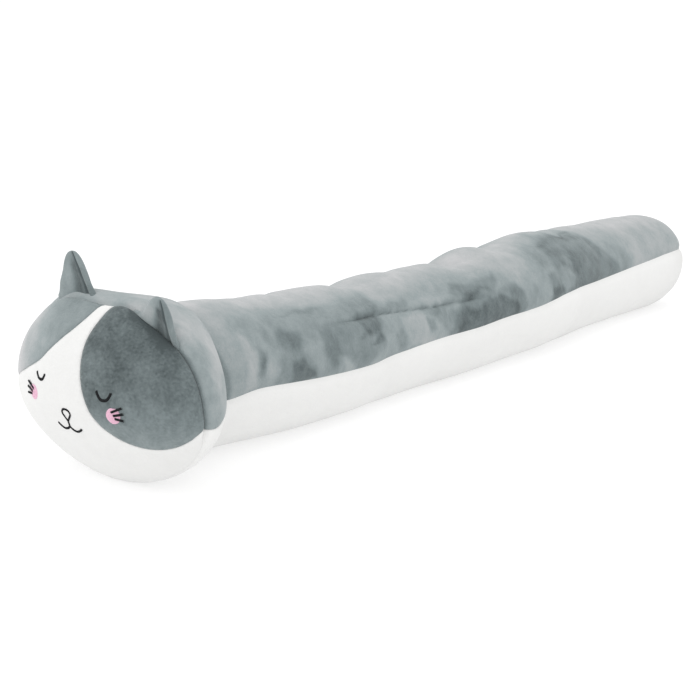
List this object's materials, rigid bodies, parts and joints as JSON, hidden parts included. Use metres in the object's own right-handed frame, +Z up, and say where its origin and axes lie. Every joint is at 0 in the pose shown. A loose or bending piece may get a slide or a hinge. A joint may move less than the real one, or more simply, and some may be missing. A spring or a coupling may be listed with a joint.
{
  "type": "draught excluder",
  "caption": "Cat-shaped stuffed plush roll that lies along the foot of a door to stop draughts, with a flat-lying belly, ears and a stitched sleeping face.",
  "frame": {"origin": "on the floor under the middle of the whole roll, head to tail and side to side", "axes": "+X along the roll from the face to the tail, +Y to the cat's right, +Z up; the face looks along -X"},
  "size_m": [0.9008, 0.1992, 0.1587],
  "materials": {
    "grey_plush": "short velour pile, grey with a slight green-blue tint",
    "white_plush": "short velour pile, warm white",
    "black_thread": "satin embroidery thread",
    "pink_thread": "satin embroidery thread"
  },
  "bodies": {
    "root": {"body_back": "grey_plush", "body_belly": "white_plush", "head_back": "grey_plush", "head_under": "white_plush", "face_panel": "white_plush", "face_patch_left": "grey_plush", "face_patch_right": "grey_plush", "ear_left": "grey_plush", "ear_right": "grey_plush", "eye_left": "black_thread", "eye_right": "black_thread", "nose_mouth": "black_thread", "cheek_left": "pink_thread", "cheek_right": "pink_thread", "whisker_left_1": "black_thread", "whisker_left_2": "black_thread", "whisker_left_3": "black_thread", "whisker_right_1": "black_thread", "whisker_right_2": "black_thread", "whisker_right_3": "black_thread"}
  },
  "joints": []
}
